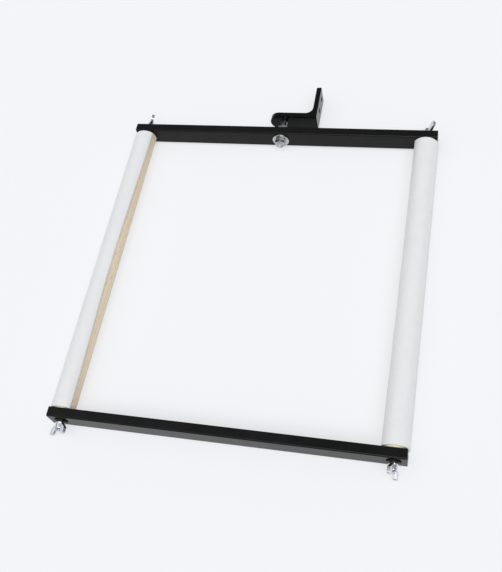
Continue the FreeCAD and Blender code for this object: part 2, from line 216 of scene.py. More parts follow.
class Shape:
    """A mesh under construction, with the few operations that the pieces need."""

    def __init__(self, mesh: bpy.types.Mesh) -> None:
        """Hold a mesh in a helper object, so that modifiers can work on it.

        Args:
            mesh: The mesh.
        """
        self.holder = add_object("helper", mesh)

    @classmethod
    def from_bmesh(cls, work: bmesh.types.BMesh) -> "Shape":
        """Turn a bmesh into a shape with outward normals.

        Args:
            work: The bmesh, which is freed.

        Returns:
            The shape.
        """
        bmesh.ops.recalc_face_normals(work, faces=work.faces)
        mesh = bpy.data.meshes.new("shape")
        work.to_mesh(mesh)
        work.free()
        return cls(mesh)

    @classmethod
    def prism(cls, outline: Sequence[Point2], low: float, high: float) -> "Shape":
        """Raise a closed outline along Z.

        Args:
            outline: Corners in X and Y.
            low: Z of the bottom face.
            high: Z of the top face.

        Returns:
            The closed prism.
        """
        return cls.lofted([[(x, y, height) for x, y in outline] for height in (low, high)])

    @classmethod
    def lofted(cls, rows: Sequence[Sequence[tuple[float, float, float]]]) -> "Shape":
        """Skin a stack of closed outlines that have the same number of corners.

        Args:
            rows: The outlines, from one end to the other.

        Returns:
            The closed shape.
        """
        work = bmesh.new()
        rings = [[work.verts.new(corner) for corner in row] for row in rows]
        for first, second in zip(rings, rings[1:]):
            for i in range(len(first)):
                j = (i + 1) % len(first)
                work.faces.new((first[i], first[j], second[j], second[i]))
        work.faces.new(rings[0])
        work.faces.new(rings[-1])
        return cls.from_bmesh(work)

    @classmethod
    def turned(cls, profile: Sequence[Point2], segments: int) -> "Shape":
        """Turn a profile of radius and height once round Z.

        Args:
            profile: Points of radius and Z. A profile that starts and ends on the axis makes a
                solid, and any other is taken as a closed loop round a bore.
            segments: Number of steps round the axis.

        Returns:
            The closed turned shape.
        """
        work = bmesh.new()
        solid = profile[0][0] == 0.0 and profile[-1][0] == 0.0
        rings = []
        for radius, height in profile:
            if radius == 0.0:
                rings.append([work.verts.new((0.0, 0.0, height))] * segments)
            else:
                rings.append([work.verts.new((x, y, height)) for x, y in ring_of(radius, segments)])
        stack = rings if solid else rings + rings[:1]
        for inner, outer in zip(stack, stack[1:]):
            for i in range(segments):
                j = (i + 1) % segments
                corners = list(dict.fromkeys((inner[i], inner[j], outer[j], outer[i])))
                if len(corners) > 2:
                    work.faces.new(corners)
        return cls.from_bmesh(work)

    @classmethod
    def joined(cls, parts: Iterable["Shape"]) -> "Shape":
        """Put several shapes into one mesh.

        Args:
            parts: The shapes, which are used up.

        Returns:
            One shape with all their faces.
        """
        work = bmesh.new()
        for part in parts:
            part.holder.data.transform(part.holder.matrix_world)
            work.from_mesh(part.holder.data)
            part.discard()
        return cls.from_bmesh(work)

    def discard(self) -> None:
        """Remove the helper object and its mesh."""
        mesh = self.holder.data
        bpy.data.objects.remove(self.holder)
        bpy.data.meshes.remove(mesh)

    def moved(self, matrix: Matrix) -> "Shape":
        """Move the vertices.

        Args:
            matrix: The move.

        Returns:
            This shape.
        """
        self.holder.data.transform(matrix)
        return self

    def mirrored(self) -> "Shape":
        """Mirror the shape from one side of X to the other, its faces still outward."""
        self.holder.data.transform(Matrix.Diagonal((-1, 1, 1, 1)))
        self.holder.data.flip_normals()
        return self

    def modified(self, kind: str, **settings: object) -> "Shape":
        """Add a modifier.

        Args:
            kind: Type name of the modifier.
            settings: Its properties by name.

        Returns:
            This shape, with the modifier not yet applied.
        """
        modifier = self.holder.modifiers.new(kind, kind)
        for key, value in settings.items():
            setattr(modifier, key, value)
        return self

    def apply(self) -> "Shape":
        """Make the modifiers' result the shape's own mesh."""
        bpy.context.view_layer.update()
        graph = bpy.context.evaluated_depsgraph_get()
        result = bpy.data.meshes.new_from_object(self.holder.evaluated_get(graph))
        old = self.holder.data
        self.holder.modifiers.clear()
        self.holder.data = result
        bpy.data.meshes.remove(old)
        return self

    def combined(self, tool: "Shape", operation: str) -> "Shape":
        """Join, cut or intersect with another shape, which is used up.

        Args:
            tool: The other shape.
            operation: UNION, DIFFERENCE or INTERSECT.

        Returns:
            This shape.
        """
        self.modified("BOOLEAN", operation=operation, solver="EXACT", object=tool.holder).apply()
        tool.discard()
        return self

    def cut(self, tool: "Shape") -> "Shape":
        """Cut another shape out of this one.

        Args:
            tool: The other shape, which is used up.

        Returns:
            This shape.
        """
        return self.combined(tool, "DIFFERENCE")

    def bevelled(self, width: float, segments: int = 2, angle: float = 35.0) -> "Shape":
        """Round every edge sharper than an angle.

        Args:
            width: Width of the bevel.
            segments: Facets across it.
            angle: Smallest angle between faces that is rounded, in degrees.

        Returns:
            This shape.
        """
        limit = math.radians(angle)
        self.modified("BEVEL", width=width, segments=segments, limit_method="ANGLE", angle_limit=limit)
        return self.apply()

    def fused(self, voxel: float, smoothing: int) -> "Shape":
        """Melt overlapping parts into one skin, as a forging has, and smooth the joins.

        Args:
            voxel: Size of the remesh cells.
            smoothing: Number of smoothing passes.

        Returns:
            This shape.
        """
        self.modified("REMESH", mode="VOXEL", voxel_size=voxel, adaptivity=0.0)
        return self.modified("SMOOTH", factor=0.5, iterations=smoothing).apply()

    def mesh(self, sharp: float = 32.0) -> bpy.types.Mesh:
        """Take the finished mesh, shaded smooth but for edges sharper than an angle in degrees.

        The broad flat faces keep their own normals, so that their rounded edges don't shade them.

        Args:
            sharp: The angle.

        Returns:
            The mesh.
        """
        self.holder.data.shade_smooth()
        self.holder.data.set_sharp_from_angle(angle=math.radians(sharp))
        result = self.modified("WEIGHTED_NORMAL", keep_sharp=True).apply().holder.data
        bpy.data.objects.remove(self.holder)
        return result


@dataclass(frozen=True)
class Thread:
    """A right-handed screw thread.

    Attributes:
        radius: Crest radius.
        pitch: Distance from one crest to the next.
    """

    radius: float
    pitch: float

    @property
    def root(self) -> float:
        """Radius at the bottom of the groove."""
        return self.radius - 0.61 * self.pitch

    def rod(self, low: float, high: float, segments: int = 40) -> Shape:
        """Cut the thread along a rod whose two tips are chamfered.

        Args:
            low: Z of the lower tip.
            high: Z of the upper tip.
            segments: Steps round one turn.

        Returns:
            The closed threaded rod.
        """
        profile = ((0.0, self.root), (0.16, self.root), (0.46, self.radius), (0.66, self.radius))
        rows_per_turn = len(profile)
        tip = self.root - 0.15 * MM
        turns = math.ceil((high - low) / self.pitch) + 2
        work = bmesh.new()
        grid = []
        for row in range(turns * rows_per_turn + 1):
            turn, step = divmod(row, rows_per_turn)
            line = []
            for i in range(segments):
                shift, radius = profile[step]
                height = low + (turn - 1 + shift + i / segments) * self.pitch
                height = min(max(height, low), high)
                lead = tip + min(height - low, high - height)
                reach = min(radius, lead)
                angle = math.tau * i / segments
                line.append(work.verts.new((reach * math.cos(angle), reach * math.sin(angle), height)))
            grid.append(line)
        for row in range(len(grid) - 1):
            for i in range(segments):
                below, above = grid[row][i], grid[row + 1][i]
                if i + 1 < segments:
                    following = (grid[row + 1][i + 1], grid[row][i + 1])
                elif row + 1 + rows_per_turn < len(grid):
                    following = (grid[row + 1 + rows_per_turn][0], grid[row + rows_per_turn][0])
                else:
                    continue
                work.faces.new((below, above, *following))
        bmesh.ops.remove_doubles(work, verts=work.verts, dist=0.002 * MM)
        loose = [vert for vert in work.verts if not vert.link_faces]
        bmesh.ops.delete(work, geom=loose, context="VERTS")
        bmesh.ops.holes_fill(work, edges=[edge for edge in work.edges if edge.is_boundary], sides=0)
        return Shape.from_bmesh(work)


# ---------------------------------------------------------------------------------------------
# Finishes
# ---------------------------------------------------------------------------------------------


class Graph:
    """A material's node tree, with short calls for the nodes that the finishes share."""

    def __init__(self, name: str) -> None:
        """Start a material with one Principled shader.

        Args:
            name: Name of the material.
        """
        self.material = bpy.data.materials.new(name)
        self.material.use_nodes = True
        self.tree = self.material.node_tree
        self.shader = self.tree.nodes["Principled BSDF"]
        self._coordinates: Optional[bpy.types.NodeSocket] = None

    def feed(self, target: bpy.types.NodeSocket, value: object) -> None:
        """Give an input a plain value, or join it to the output of another node.

        Args:
            target: The input.
            value: The value or the output.
        """
        if isinstance(value, bpy.types.NodeSocket):
            self.tree.links.new(value, target)
        else:
            target.default_value = value

    def shade(self, inputs: dict[str, object]) -> None:
        """Feed inputs of the Principled shader.

        Args:
            inputs: A value or an output for each, by name.
        """
        for name, value in inputs.items():
            self.feed(self.shader.inputs[name], value)

    def add(
        self, kind: str, inputs: Optional[dict[str, object]] = None, **settings: object
    ) -> bpy.types.Node:
        """Add a node, set its properties and feed its inputs.

        Args:
            kind: Type name of the node.
            inputs: A value or an output for each of its inputs, by name.
            settings: Properties by name.

        Returns:
            The node.
        """
        node = self.tree.nodes.new(kind)
        for key, value in settings.items():
            setattr(node, key, value)
        for name, value in (inputs or {}).items():
            self.feed(node.inputs[name], value)
        return node

    def millimetres(
        self, stretch: Sequence[float] = (1.0, 1.0, 1.0), shift: float = 0.0
    ) -> bpy.types.NodeSocket:
        """Give the piece's own coordinates in millimetres, scaled along each axis.

        Args:
            stretch: Factor along X, Y and Z.
            shift: Offset that keeps two pieces from sharing a pattern.

        Returns:
            The vector output.
        """
        if self._coordinates is None:
            self._coordinates = self.add("ShaderNodeTexCoord").outputs["Object"]
        scale = [factor / MM for factor in stretch]
        location = (shift, shift * 0.7, shift * 1.3)
        inputs = {"Scale": scale, "Location": location, "Vector": self._coordinates}
        return self.add("ShaderNodeMapping", inputs).outputs["Vector"]

    def noise(
        self, vector: bpy.types.NodeSocket, size: float, detail: float = 2.0
    ) -> bpy.types.NodeSocket:
        """Add cloudy noise.

        Args:
            vector: Coordinates that it is laid out in.
            size: How far across its features are, in the coordinates' units.
            detail: Octaves of finer noise.

        Returns:
            The value output, from 0 to 1.
        """
        inputs = {"Scale": 1.0 / size, "Detail": detail, "Vector": vector}
        return self.add("ShaderNodeTexNoise", inputs).outputs["Fac"]

    def spread(
        self,
        value: bpy.types.NodeSocket,
        low: float,
        high: float,
        start: float = 0.3,
        stop: float = 0.7,
    ) -> bpy.types.NodeSocket:
        """Map a value onto another range, held at both ends.

        Args:
            value: The value.
            low: Result at the start.
            high: Result at the stop.
            start: Value that gives the low result.
            stop: Value that gives the high result.

        Returns:
            The mapped output.
        """
        limits = {"From Min": start, "From Max": stop, "To Min": low, "To Max": high}
        return self.add("ShaderNodeMapRange", {**limits, "Value": value}).outputs["Result"]

    def blend_colours(
        self, factor: bpy.types.NodeSocket, first: object, second: object
    ) -> bpy.types.NodeSocket:
        """Mix two colours.

        Args:
            factor: Share of the second colour.
            first: A tuple of red, green and blue, or the output of another node.
            second: The same.

        Returns:
            The colour output.
        """
        node = self.add("ShaderNodeMix", data_type="RGBA")
        for key, colour in (("A_Color", first), ("B_Color", second)):
            socket = next(item for item in node.inputs if item.identifier == key)
            plain = not isinstance(colour, bpy.types.NodeSocket)
            self.feed(socket, (*colour, 1.0) if plain else colour)
        self.feed(next(item for item in node.inputs if item.identifier == "Factor_Float"), factor)
        return next(item for item in node.outputs if item.identifier == "Result_Color")

    def maths(self, operation: str, *values: object) -> bpy.types.NodeSocket:
        """Add a maths node.

        Args:
            operation: Name of the operation.
            values: Its inputs, each a number or the output of another node.

        Returns:
            The result's output.
        """
        node = self.add("ShaderNodeMath", operation=operation)
        for socket, value in zip(node.inputs, values):
            self.feed(socket, value)
        return node.outputs["Value"]

    def bump(self, height: bpy.types.NodeSocket, depth: float) -> None:
        """Roughen the surface, on top of any earlier bump.

        Args:
            height: The height, from 0 to 1.
            depth: Its full range, in millimetres.
        """
        inputs = {"Strength": 1.0, "Distance": depth * MM, "Height": height}
        normal = self.shader.inputs["Normal"]
        if normal.is_linked:
            inputs["Normal"] = normal.links[0].from_socket
        self.feed(normal, self.add("ShaderNodeBump", inputs).outputs["Normal"])


@dataclass(frozen=True)
class Finish:
    """A surface finish.

    Attributes:
        name: Name of the material.
        slot: The record's material slot that it belongs to. Not used.
        shift: Offset of its pattern.
    """

    name: str
    slot: str
    shift: float = 0.0

    def material(self) -> bpy.types.Material:
        """Return the finish's material, making it once."""
        existing = bpy.data.materials.get(self.name)
        if existing is not None:
            return existing
        graph = Graph(self.name)
        self.paint(graph)
        return graph.material

    def paint(self, graph: Graph) -> None:
        """Build the nodes. Each kind of finish does this its own way.

        Args:
            graph: The material's node tree, with its shader in place.
        """
        raise NotImplementedError


@dataclass(frozen=True)
class BlackPaint(Finish):
    """Black paint on steel, with a fine orange peel and rubbed rings round the fastenings.

    Attributes:
        colour: Colour of the paint.
        rubbed: Colour where it is scuffed.
        gloss_low: Lowest roughness.
        gloss_high: Highest roughness.
        specular: Strength of its mirror-like layer.
        peel: Depth of the orange peel, in millimetres.
        rings: Centres of the scuffed rings in X and Z, in metres.
        ring_radius: Radius of the scuffed rings.
    """

    colour: tuple[float, float, float] = (0.005, 0.005, 0.0053)
    rubbed: tuple[float, float, float] = (0.035, 0.034, 0.032)
    gloss_low: float = 0.16
    gloss_high: float = 0.25
    specular: float = 0.15
    peel: float = 0.02
    rings: tuple[Point2, ...] = ()
    ring_radius: float = 8.6 * MM

    def paint(self, graph: Graph) -> None:
        """Build the paint's nodes.

        Args:
            graph: The material's node tree.
        """
        where = graph.millimetres(shift=self.shift)
        cloud = graph.noise(where, 22.0, 3.0)
        fine = graph.noise(where, 1.1, 2.0)
        speck = graph.noise(where, 0.35, 1.0)
        lint = graph.spread(graph.noise(where, 2.4, 4.0), 0.0, 1.0, 0.69, 0.74)
        thin = [channel * 1.5 for channel in self.colour]
        base = graph.blend_colours(graph.spread(cloud, 0.0, 1.0), self.colour, thin)
        base = graph.blend_colours(graph.maths("MULTIPLY", lint, 0.4), base, self.rubbed)
        wear = self.ring_wear(graph)
        if wear is not None:
            base = graph.blend_colours(wear, base, self.rubbed)
        rough = graph.spread(cloud, self.gloss_low, self.gloss_high)
        rough = graph.maths("ADD", rough, graph.maths("MULTIPLY", speck, 0.06))
        graph.shade({"Base Color": base, "Roughness": rough, "Specular IOR Level": self.specular})
        graph.bump(fine, self.peel)
        graph.bump(speck, self.peel * 0.3)

    def ring_wear(self, graph: Graph) -> Optional[bpy.types.NodeSocket]:
        """Mask the rings that turning washers have scuffed.

        Args:
            graph: The material's node tree.

        Returns:
            The mask, or nothing if there are no rings.
        """
        if not self.rings:
            return None
        place = graph.add("ShaderNodeTexCoord").outputs["Object"]
        split = graph.add("ShaderNodeSeparateXYZ", {"Vector": place})
        total = None
        for x, z in self.rings:
            across = graph.maths("POWER", graph.maths("SUBTRACT", split.outputs["X"], x), 2.0)
            up = graph.maths("POWER", graph.maths("SUBTRACT", split.outputs["Z"], z), 2.0)
            distance = graph.maths("SQRT", graph.maths("ADD", across, up))
            offset = graph.maths("ABSOLUTE", graph.maths("SUBTRACT", distance, self.ring_radius))
            band = graph.spread(offset, 1.0, 0.0, 0.0, 1.1 * MM)
            total = band if total is None else graph.maths("MAXIMUM", total, band)
        patchy = graph.noise(graph.millimetres(shift=self.shift + 5.0), 1.6, 4.0)
        patchy = graph.spread(patchy, 0.0, 0.8, 0.45, 0.62)
        return graph.maths("MULTIPLY", total, patchy)


@dataclass(frozen=True)
class MouldedPlastic(Finish):
    """Black moulded plastic with a fine spark-eroded texture.

    Attributes:
        colour: Colour of the plastic.
    """

    colour: tuple[float, float, float] = (0.011, 0.011, 0.0115)

    def paint(self, graph: Graph) -> None:
        """Build the plastic's nodes.

        Args:
            graph: The material's node tree.
        """
        where = graph.millimetres(shift=self.shift)
        grain = graph.noise(where, 0.3, 2.0)
        base = graph.blend_colours(grain, self.colour, [channel * 1.6 for channel in self.colour])
        graph.shade({"Base Color": base, "Roughness": graph.spread(grain, 0.42, 0.58)})
        graph.bump(grain, 0.03)


@dataclass(frozen=True)
class DowelWood(Finish):
    """Pale sanded hardwood with its grain along Y.

    Attributes:
        light: Colour between the grain lines.
        dark: Colour of the grain lines.
        pore: Colour of the pores.
    """

    light: tuple[float, float, float] = (0.86, 0.74, 0.575)
    dark: tuple[float, float, float] = (0.745, 0.615, 0.445)
    pore: tuple[float, float, float] = (0.42, 0.31, 0.20)

    def paint(self, graph: Graph) -> None:
        """Build the wood's nodes.

        Args:
            graph: The material's node tree.
        """
        streaks = graph.noise(graph.millimetres((1.0, 0.012, 1.0), self.shift), 2.6, 3.0)
        rings = graph.noise(graph.millimetres((1.0, 0.004, 1.0), self.shift + 9.0), 7.0, 1.0)
        fibre = graph.noise(graph.millimetres((1.0, 0.05, 1.0), self.shift), 0.35, 2.0)
        pores = graph.noise(graph.millimetres((1.0, 0.09, 1.0), self.shift + 3.0), 0.5, 0.0)
        pores = graph.spread(pores, 0.0, 0.55, 0.66, 0.74)
        streaks = graph.maths("MULTIPLY", streaks, 0.6)
        grain = graph.maths("ADD", streaks, graph.maths("MULTIPLY", rings, 0.4))
        base = graph.blend_colours(graph.spread(grain, 0.0, 1.0, 0.36, 0.62), self.light, self.dark)
        base = graph.blend_colours(pores, base, self.pore)
        graph.shade({"Base Color": base, "Roughness": graph.spread(fibre, 0.5, 0.66)})
        graph.bump(fibre, 0.04)
        graph.bump(graph.maths("SUBTRACT", 1.0, pores), 0.05)


@dataclass(frozen=True)
class ExtrudedVinyl(Finish):
    """White extruded vinyl with faint die lines along Y and handling marks.

    Attributes:
        colour: Colour of clean vinyl.
        grubby: Colour of the handling marks.
    """

    colour: tuple[float, float, float] = (0.78, 0.785, 0.795)
    grubby: tuple[float, float, float] = (0.735, 0.735, 0.735)

    def paint(self, graph: Graph) -> None:
        """Build the vinyl's nodes.

        Args:
            graph: The material's node tree.
        """
        where = graph.millimetres(shift=self.shift)
        marks = graph.noise(where, 14.0, 5.0)
        lines = graph.noise(graph.millimetres((1.0, 0.003, 1.0), self.shift), 0.9, 3.0)
        pebble = graph.noise(where, 0.5, 2.0)
        scratch = graph.noise(graph.millimetres((1.0, 0.03, 1.0), self.shift + 4.0), 0.6, 2.0)
        scratch = graph.spread(scratch, 0.0, 1.0, 0.68, 0.73)
        base = graph.blend_colours(graph.spread(marks, 0.0, 0.7, 0.5, 0.78), self.colour, self.grubby)
        base = graph.blend_colours(graph.maths("MULTIPLY", scratch, 0.25), base, self.grubby)
        rough = graph.spread(marks, 0.3, 0.42)
        rough = graph.maths("ADD", rough, graph.maths("MULTIPLY", scratch, 0.12))
        graph.shade(
            {
                "Base Color": base,
                "Roughness": rough,
                "Subsurface Weight": 0.12,
                "Subsurface Radius": (1.0, 0.9, 0.8),
                "Subsurface Scale": 1.2 * MM,
            }
        )
        graph.bump(lines, 0.02)
        graph.bump(pebble, 0.006)


@dataclass(frozen=True)
class ZincPlate(Finish):
    """Bright zinc plating with faint blue and straw tints.

    Attributes:
        cool: The bluish tint.
        warm: The straw tint.
        dull: Colour of handled spots.
    """

    cool: tuple[float, float, float] = (0.65, 0.68, 0.76)
    warm: tuple[float, float, float] = (0.74, 0.73, 0.69)
    dull: tuple[float, float, float] = (0.38, 0.39, 0.41)

    def paint(self, graph: Graph) -> None:
        """Build the plating's nodes.

        Args:
            graph: The material's node tree.
        """
        where = graph.millimetres(shift=self.shift)
        tint = graph.noise(where, 5.0, 2.0)
        spots = graph.noise(where, 1.3, 4.0)
        grit = graph.noise(where, 0.22, 2.0)
        base = graph.blend_colours(graph.spread(tint, 0.0, 1.0, 0.38, 0.62), self.cool, self.warm)
        base = graph.blend_colours(graph.spread(spots, 0.0, 0.6, 0.58, 0.75), base, self.dull)
        rough = graph.spread(spots, 0.1, 0.3, 0.35, 0.75)
        graph.shade({"Base Color": base, "Metallic": 1.0, "Roughness": rough})
        graph.bump(spots, 0.05)
        graph.bump(grit, 0.01)


@dataclass(frozen=True)
class PaleFloor(Finish):
    """A plain pale studio floor, lit partly from within like a light table.

    Attributes:
        colour: Colour of the floor.
        glow: Light that the floor gives off.
    """

    colour: tuple[float, float, float] = (0.30, 0.303, 0.314)
    glow: float = 0.605

    def paint(self, graph: Graph) -> None:
        """Set the floor's plain colour.

        Args:
            graph: The material's node tree.
        """
        graph.shade(
            {
                "Base Color": (*self.colour, 1.0),
                "Roughness": 0.9,
                "Specular IOR Level": 0.1,
                "Emission Color": (0.97, 0.98, 1.0, 1.0),
                "Emission Strength": self.glow,
            }
        )


PLUG_PLASTIC = MouldedPlastic("moulded_plug_plastic", "plug_plastic")
ZINC = ZincPlate("zinc_plate", "zinc")
# The same zinc plating with every colour darker, for the pivot hardware: painted shade, not a
# different plating.
SHADED_ZINC = ZincPlate(
    "handled_zinc_plate",
    "zinc",
    shift=17.0,
    cool=(0.46, 0.48, 0.52),
    warm=(0.56, 0.555, 0.53),
    dull=(0.2, 0.205, 0.21),
)
# The rail washers are painted black, as dark as the discs round the wing nuts and darker than the bar
# face round them.
BLACK_WASHER_PAINT = BlackPaint("washer_oxide", "washer_black", shift=21.0, gloss_low=0.22, gloss_high=0.34)
BRACKET_PAINT = BlackPaint(
    "bracket_gloss_paint",
    "bracket_paint",
    shift=13.0,
    colour=(0.003, 0.003, 0.0033),
    gloss_low=0.06,
    gloss_high=0.12,
)


# ---------------------------------------------------------------------------------------------
# Places
# ---------------------------------------------------------------------------------------------


def centre_of(node: str) -> Vector:
    """Give the middle of a node's box, which is also where a centred piece goes.

    Args:
        node: Name of the CAD node.

    Returns:
        The point.
    """
    low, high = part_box(node)
    return (low + high) / 2


def size_of(node: str) -> Vector:
    """Give the three sides of a node's box.

    Args:
        node: Name of the CAD node.

    Returns:
        The lengths along X, Y and Z.
    """
    low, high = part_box(node)
    return high - low


def outward(end: End, place: Vector, turn: float = 0.0) -> Matrix:
    """Stand a piece's Z axis out of the front or rear of the frame.

    Args:
        end: The end that its axis points out of.
        place: Where its own origin goes.
        turn: Turn about its own axis first, in radians.

    Returns:
        The matrix from the piece's own frame to the whole frame.
    """
    tilt = Matrix.Rotation(-end.value * math.pi / 2, 4, "X")
    return Matrix.Translation(place) @ tilt @ Matrix.Rotation(turn, 4, "Z")


def seat(node: str, end: End) -> Vector:
    """Give the point where a node's axis meets the face that it is tightened against.

    Args:
        node: Name of the CAD node.
        end: The end that it is tightened from.

    Returns:
        The point.
    """
    low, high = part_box(node)
    middle = (low + high) / 2
    return Vector((middle.x, low.y if end is End.REAR else high.y, middle.z))


def wing_turn(node: str) -> float:
    """Measure how far a wing nut's wings are turned from the X axis towards Z.

    Args:
        node: Name of the CAD node.

    Returns:
        The angle, in radians.
    """
    middle = centre_of(node)
    corners = [vertex.co - middle for vertex in frame["nodes"][node].data.vertices]
    spread_x = sum(corner.x * corner.x for corner in corners)
    spread_z = sum(corner.z * corner.z for corner in corners)
    shared = sum(corner.x * corner.z for corner in corners)
    return 0.5 * math.atan2(2 * shared, spread_x - spread_z)


def add_piece(
    name: str, mesh: bpy.types.Mesh, node: str, finish: Finish, place: Matrix
) -> bpy.types.Object:
    """Put a finished mesh into the scene in place of a node, on that node's body.

    Args:
        name: Name of the piece.
        mesh: Its mesh, in the piece's own frame.
        node: The CAD node that it stands for.
        finish: The finish that it wears.
        place: Matrix from its own frame to the whole frame.

    Returns:
        The new object.
    """
    piece = add_object(name, mesh)
    piece.matrix_world = place
    if not mesh.materials:
        mesh.materials.append(finish.material())
    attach(piece, frame["nodes"][node]["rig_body"])
    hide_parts(node)
    LOG.info("%s stands for %s", name, node)
    return piece


# ---------------------------------------------------------------------------------------------
# Sub-assemblies
# ---------------------------------------------------------------------------------------------


@dataclass
class Crossbar:
    """A rectangular steel tube across one end of the frame, with a plug in each end.

    Attributes:
        end: Which end of the frame it crosses.
        wall: Thickness of the tube.
        corner: Outside corner radius.
        edge: Width of the broken edge at the sawn ends and holes.
        stud_hole: Radius of the stud holes.
        bolt_hole: Radius of the pivot bolt's hole.
        corner_steps: Facets round each corner.
        cap_depth: Thickness of a plug's cap.
        cap_corner: Corner radius of a plug.
        dimple: Depth of the dimple in a plug's cap.
        rib: Thickness of a plug's ribs.
        rib_pitch: Distance from one rib to the next.
        rib_height: How far the ribs stand out.
        ribs: Number of ribs.
    """

    end: End
    wall: float = 1.6 * MM
    corner: float = 1.8 * MM
    edge: float = 0.25 * MM
    stud_hole: float = STUD_HOLE
    bolt_hole: float = 4.02 * MM
    corner_steps: int = 7
    cap_depth: float = 2.4 * MM
    cap_corner: float = 0.5 * MM
    dimple: float = 0.5 * MM
    rib: float = 0.6 * MM
    rib_pitch: float = 1.7 * MM
    rib_height: float = 0.45 * MM
    ribs: int = 3

    @property
    def node(self) -> str:
        """The CAD node of the tube."""
        return f"{self.end.label}_crossbar"

    def along_x(self) -> Matrix:
        """Lay a prism's axis along X, with its first coordinate along Y and its second along Z."""
        return Matrix(((0, 0, 1, 0), (1, 0, 0, 0), (0, 1, 0, 0), (0, 0, 0, 1)))

    def hole_centres(self) -> list[tuple[float, float]]:
        """Give each hole's X and radius."""
        holes = [(centre_of(f"{side.label}_rail_core").x, self.stud_hole) for side in Side]
        if self.end is End.REAR:
            holes.append((centre_of("pivot_bolt").x, self.bolt_hole))
        return holes

    def tube(self) -> bpy.types.Mesh:
        """Build the tube: a rounded section, hollow, with its cross holes and broken edges."""
        size = size_of(self.node)
        half = size.x / 2
        outside = rounded_rectangle(size.y, size.z, self.corner, self.corner_steps)
        inside_corner = max(self.corner - self.wall, 0.3 * MM)
        inside = rounded_rectangle(size.y - 2 * self.wall, size.z - 2 * self.wall, inside_corner, 3)
        shape = Shape.prism(outside, -half, half).moved(self.along_x())
        shape.cut(Shape.prism(inside, -half - MM, half + MM).moved(self.along_x()))
        for x, radius in self.hole_centres():
            drill = Shape.prism(ring_of(radius, 32), -size.y, size.y)
            drill.moved(Matrix.Translation((x, 0, 0)) @ QUARTER_TURN_X)
            shape.cut(drill)
        return shape.bevelled(self.edge, 2, 40.0).mesh()

    def plug(self, side: Side) -> bpy.types.Mesh:
        """Build one end plug: a dimpled cap on a ribbed body that grips the tube.

        Args:
            side: The end of the tube that it closes.

        Returns:
            The plug's mesh.
        """
        size = size_of(f"{self.end.label}_{side.label}_end_plug")
        inner, outer = -size.x / 2, size.x / 2
        full = rounded_rectangle(size.y, size.z, self.cap_corner, 4)
        inset = 2 * self.rib_height
        waist = rounded_rectangle(size.y - inset, size.z - inset, self.cap_corner, 4)
        shape = Shape.prism(full, outer - self.cap_depth, outer)
        shape.combined(Shape.prism(waist, inner, outer - MM), "UNION")
        for number in range(self.ribs):
            low = inner + 1.2 * MM + number * self.rib_pitch
            shape.combined(Shape.prism(full, low, low + self.rib), "UNION")
        hollow = rounded_rectangle(size.y * 0.5, size.z * 0.62, 1.4 * MM, 6)
        shape.cut(Shape.prism(hollow, outer - self.dimple, 2 * outer))
        shape.bevelled(0.22 * MM, 2, 40.0).moved(self.along_x())
        if side is Side.LEFT:
            shape.mirrored()
        return shape.mesh()

    def build(self, paint: Finish, plastic: Finish) -> None:
        """Add the tube and its two plugs.

        Args:
            paint: The finish of the tube.
            plastic: The finish of the plugs.
        """
        place = Matrix.Translation(centre_of(self.node))
        add_piece(f"{self.end.label}_tube", self.tube(), self.node, paint, place)
        for side in Side:
            node = f"{self.end.label}_{side.label}_end_plug"
            place = Matrix.Translation(centre_of(node))
            add_piece(f"{node}_cap", self.plug(side), node, plastic, place)


# How far each slot is turned down from facing inward, and how much further its upper lip stands
# open at mid length, both in degrees.
SLOT_LIPS = {Side.LEFT: (7.0, 13.0), Side.RIGHT: (28.0, 3.0)}


